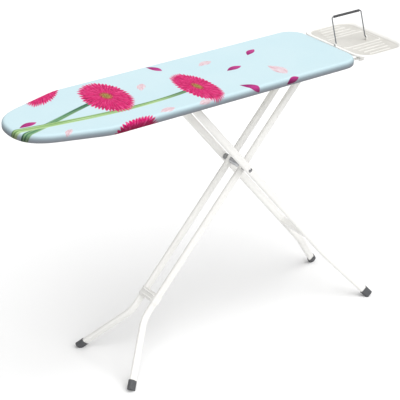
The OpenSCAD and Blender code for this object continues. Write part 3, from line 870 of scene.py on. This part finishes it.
def make_mesh_top():
    """Diamond holes in a sheet, with a plain border under the rim channel."""
    outline = board_outline(0.012)
    keep = inset(outline, 0.020)
    low, high = MESH_LOW[2], MESH_HIGH[2]
    middle = (low + high) / 2
    points, faces, known = [], [], {}

    def corner(i, j):
        if (i, j) not in known:
            known[(i, j)] = len(points)
            points.append((NOSE_X + i * CELL_L / 2, j * CELL_W / 2, middle))
        return known[(i, j)]

    columns = int((TAIL_X - NOSE_X) / (CELL_L / 2))
    rows = int(HALF_W / (CELL_W / 2)) + 1
    for i in range(columns + 1):
        for j in range(-rows, rows + 1):
            if (i + j) % 2:
                continue
            x, y = NOSE_X + i * CELL_L / 2, j * CELL_W / 2
            if not inside_outline(keep, x, y):
                continue
            outer = [corner(i + 1, j), corner(i, j + 1), corner(i - 1, j), corner(i, j - 1)]
            first = len(points)
            for dx, dy in ((1, 0), (0, 1), (-1, 0), (0, -1)):
                points.append((x + dx * CELL_L / 2 * HOLE, y + dy * CELL_W / 2 * HOLE, middle))
            inner = [first + k for k in range(4)]
            faces += [(outer[k], outer[(k + 1) % 4], inner[(k + 1) % 4], inner[k])
                      for k in range(4)]
    border_z = middle + 0.00005
    rings = [add_ring(points, ring) for ring in section_rings(
        outline, [(FABRIC + 0.0012, border_z), (BORDER, border_z)])]
    faces += bridge(rings)
    sheet = make_piece("expanded_metal", points, faces, CREAM, "board",
                       smooth=False)
    thick = sheet.modifiers.new("thick", "SOLIDIFY")
    thick.thickness = (high - low) * 0.9
    thick.offset = 0.0
    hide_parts("mesh_top")


# ---------- the iron rest ----------

LIP = 0.006             # height of the rim's turned-down edge
CURL = 0.0032           # radius of the rim's roll
TRAY_R = 0.058
WALL_START, WALL_END = 0.0092, 0.0215
RING_GAP = 0.0022

RIBS = 4                # on each side of the flat panel
RIB_FIRST, RIB_STEP = 0.062, 0.0195
RIB_REACH, RIB_CUT = 0.060, 0.006
RIB_HALF, RIB_RISE = 0.0040, 0.0030
PANEL_L, PANEL_W, PANEL_R = 0.074, 0.045, 0.012
LINE_HALF, LINE_RISE = 0.0040, 0.0032


def rounded_ring(middle, half_l, half_w, radius, per_corner=14, per_long=70, per_short=40):
    """A rounded rectangle as a closed ring of points, anticlockwise."""
    ring = []
    corners = ((1, 1, 0), (-1, 1, 90), (-1, -1, 180), (1, -1, 270))
    for k, (sx, sy, start) in enumerate(corners):
        at = Vector((middle.x + sx * (half_l - radius), middle.y + sy * (half_w - radius)))
        for i in range(per_corner + 1):
            t = math.radians(start + 90 * i / per_corner)
            ring.append(at + radius * Vector((math.cos(t), math.sin(t))))
        nx, ny, turn = corners[(k + 1) % 4]
        nxt = Vector((middle.x + nx * (half_l - radius), middle.y + ny * (half_w - radius)))
        nxt += radius * Vector((math.cos(math.radians(turn)), math.sin(math.radians(turn))))
        here = ring[-1].copy()
        count = per_short if k % 2 == 0 else per_long
        ring += [mix(here, nxt, i / count) for i in range(1, count)]
    return ring


def smooth_step(t):
    return t * t * (3 - 2 * t)


def bead(distance, half_width, height):
    """A pressed bead's height at a distance from its middle line."""
    share = abs(distance) / half_width
    return height * (0.5 + 0.5 * math.cos(math.pi * share)) if share < 1 else 0.0


def to_segment(x, y, x0, x1, y0):
    """A point's distance from a segment along X."""
    return math.hypot(x - min(max(x, x0), x1), y - y0)


def tray_floor_height(x, y, middle):
    """Ribs in two groups along X, and a raised line round the flat panel between them."""
    dx, dy = x - middle.x, y - middle.y
    rise = 0.0
    for side in (-1, 1):
        for i in range(RIBS):
            reach = RIB_REACH - RIB_CUT * i
            away = to_segment(dx, dy, -reach, reach, side * (RIB_FIRST + RIB_STEP * i))
            rise = max(rise, bead(away, RIB_HALF, RIB_RISE))
    qx, qy = abs(dx) - PANEL_L + PANEL_R, abs(dy) - PANEL_W + PANEL_R
    edge = math.hypot(max(qx, 0), max(qy, 0)) + min(max(qx, qy), 0) - PANEL_R
    return max(rise, bead(edge, LINE_HALF, LINE_RISE))


def make_tray():
    """The pressed tray: a rolled rim, a sloping wall and the ribbed floor, in one sheet."""
    middle = Vector(((TRAY_LOW[0] + TRAY_HIGH[0]) / 2, (TRAY_LOW[1] + TRAY_HIGH[1]) / 2))
    half_l, half_w = (TRAY_HIGH[0] - TRAY_LOW[0]) / 2, (TRAY_HIGH[1] - TRAY_LOW[1]) / 2
    top = TRAY_HIGH[2]
    wall_top = top - 0.0002
    profile = [(0.0012, top - LIP), (0.0, top - LIP + 0.0006)]
    profile += arc((CURL, top - CURL), CURL, 180, 90, 6)
    profile += [(0.0065, top), (WALL_START, wall_top)]
    profile += [(mix(WALL_START, WALL_END, i / 9), mix(wall_top, TRAY_FLOOR, smooth_step(i / 9)))
                for i in range(1, 10)]
    points, numbers = [], []
    for d, z in profile:
        ring = rounded_ring(middle, half_l - d, half_w - d, max(TRAY_R - d, 0.003))
        numbers.append(add_ring(points, [Vector((*p, z)) for p in ring]))
    d = WALL_END
    while d < half_l:
        d = min(d + RING_GAP, half_l)
        ring = rounded_ring(middle, half_l - d, half_w - d, max(min(TRAY_R, half_l) - d, 0.0))
        numbers.append(add_ring(points, [
            Vector((p.x, p.y, TRAY_FLOOR + tray_floor_height(p.x, p.y, middle))) for p in ring]))
    tray = make_piece("iron_tray_pressed", points, bridge(numbers), TRAY_ENAMEL, "board")
    clean_mesh(tray, merge=0.0004)
    tray.data.shade_smooth()
    thick = tray.modifiers.new("thick", "SOLIDIFY")
    thick.thickness = 0.0010
    thick.offset = -1.0
    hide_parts("iron_tray")


# ---------- the hoop and the lever's spring ----------

HOOP_LEAN = math.radians(18)
WIRE_R = 0.002
HOOP_BEND = 0.006
SLEEVE_GROOVES = 9
SLEEVE_SIDES = 24


def rounded_path(corners, radius, steps=8):
    """Straight runs joined by arcs of that radius."""
    path = [corners[0]]
    for before, at, after in zip(corners, corners[1:], corners[2:]):
        a, b = (before - at).normalized(), (after - at).normalized()
        cut = radius / math.tan(a.angle(b) / 2)
        start, end = at + a * cut, at + b * cut
        path += [bezier(start, at + a * cut * 0.45, at + b * cut * 0.45, end, i / steps)
                 for i in range(steps + 1)]
    path.append(corners[-1])
    return path


def make_hoop():
    """Bent wire with a sleeve on its top; its ends turn in two eyes."""
    eye_low, eye_high = HOOP_LOW[0], HOOP_HIGH[0]
    foot_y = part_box("hoop_clips")[0][1] + 0.004
    pivot_z = HOOP_LOW[2] + WIRE_R
    left, right = eye_low + 0.0058, eye_high - 0.010
    top_z = HOOP_HIGH[2] - WIRE_R
    rise = top_z - pivot_z
    lean = Vector((0.0, math.tan(HOOP_LEAN) * rise, rise))
    corners = [
        Vector((eye_low, foot_y, pivot_z)),
        Vector((left, foot_y, pivot_z)),
        Vector((left, foot_y, pivot_z)) + lean,
        Vector((right, foot_y, pivot_z)) + lean,
        Vector((right, foot_y, pivot_z)),
        Vector((eye_high, foot_y, pivot_z)),
    ]
    hoop = swept("hoop_bent_wire", rounded_path(corners, HOOP_BEND), WIRE_R, GREY_WIRE,
                 "hoop")
    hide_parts("hoop_wire")
    sleeve_low, sleeve_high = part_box("hoop_sleeve")
    x0, x1 = left + HOOP_BEND + 0.001, right - HOOP_BEND - 0.001
    outer = (sleeve_high[2] - sleeve_low[2]) / 2
    at = corners[2]
    profile = [(x0, WIRE_R), (x0, outer - 0.0008), (x0 + 0.0008, outer)]
    for i in range(SLEEVE_GROOVES):
        x = mix(x0 + 0.008, x1 - 0.008, i / (SLEEVE_GROOVES - 1))
        profile += [(x - 0.0011, outer), (x - 0.0005, outer - 0.0005),
                    (x + 0.0005, outer - 0.0005), (x + 0.0011, outer)]
    profile += [(x1 - 0.0008, outer), (x1, outer - 0.0008), (x1, WIRE_R)]
    points, rings = [], []
    for x, r in profile:
        rings.append(add_ring(points, [
            Vector((x, at.y + r * math.cos(t), at.z + r * math.sin(t)))
            for t in (2 * math.pi * k / SLEEVE_SIDES for k in range(SLEEVE_SIDES))]))
    sleeve = make_piece("hoop_grip_sleeve", points, bridge(rings), DARK_PLASTIC, "hoop")
    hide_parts("hoop_sleeve")


SPRING_WIRE = 0.0006    # radius of the spring's wire
SPRING_TURNS = 5
SPRING_STEPS = 24       # points to the turn


def make_spring():
    """A wound spring round the lever's pin."""
    middle = Vector([(a + b) / 2 for a, b in zip(SPRING_LOW, SPRING_HIGH)])
    radius = (SPRING_HIGH[2] - SPRING_LOW[2]) / 2 - SPRING_WIRE
    length = SPRING_HIGH[0] - SPRING_LOW[0] - 2 * SPRING_WIRE
    steps = SPRING_STEPS * SPRING_TURNS
    path = []
    for i in range(steps + 1):
        t = 2 * math.pi * i / SPRING_STEPS
        path.append(middle + Vector((
            length * (i / steps - 0.5), radius * math.cos(t), radius * math.sin(t))))
    spring = swept("lever_wound_spring", path, SPRING_WIRE, ZINC, "board", sides=8)
    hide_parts("lever_spring")


# ---------- room ----------

FLOOR_HALF = 30.0
WORLD_STRENGTH = 0.38
LIGHTS_AIM = Vector((0, 0, 0.6))

# Each light: name, kind, place and power
LIGHTS = [
    ("key", "SUN", (0.3, -1.7, 3.4), 3.05),
    ("fill", "AREA", (-2.6, -2.8, 2.0), 12.0),
    ("back", "AREA", (1.8, 3.0, 2.2), 16.0),
]


def make_room():
    """A plain pale floor, an even white surround and soft lights."""
    mesh = bpy.data.meshes.new("floor")
    corners = [(x * FLOOR_HALF, y * FLOOR_HALF, 0) for x, y in ((-1, -1), (1, -1), (1, 1), (-1, 1))]
    mesh.from_pydata(corners, [], [(0, 1, 2, 3)])
    floor = bpy.data.objects.new("floor", mesh)
    bpy.context.scene.collection.objects.link(floor)
    material, _, surface = new_material("floor")
    surface.inputs["Base Color"].default_value = (0.88, 0.88, 0.88, 1.0)
    surface.inputs["Roughness"].default_value = 0.9
    surface.inputs["Specular IOR Level"].default_value = 0.1
    mesh.materials.append(material)
    world = bpy.data.worlds.new("world")
    bpy.context.scene.world = world
    world.use_nodes = True
    background = world.node_tree.nodes["Background"]
    background.inputs[0].default_value = (1.0, 1.0, 1.0, 1.0)
    background.inputs[1].default_value = WORLD_STRENGTH
    for name, kind, at, power in LIGHTS:
        data = bpy.data.lights.new(name, kind)
        data.energy = power
        if kind == "SUN":
            data.angle = math.radians(70)
        else:
            data.size = 2.2
        light = bpy.data.objects.new(name, data)
        light.location = at
        light.rotation_euler = (Vector(at) - LIGHTS_AIM).to_track_quat("Z", "Y").to_euler()
        bpy.context.scene.collection.objects.link(light)
    bpy.context.scene.view_settings.view_transform = "Standard"


make_pad()
make_cover()
swept("hem_cord", hem_cord_path(), 0.0012, CORD, "board", sides=8)
make_mesh_top()
make_tray()
make_hoop()
make_spring()
make_room()
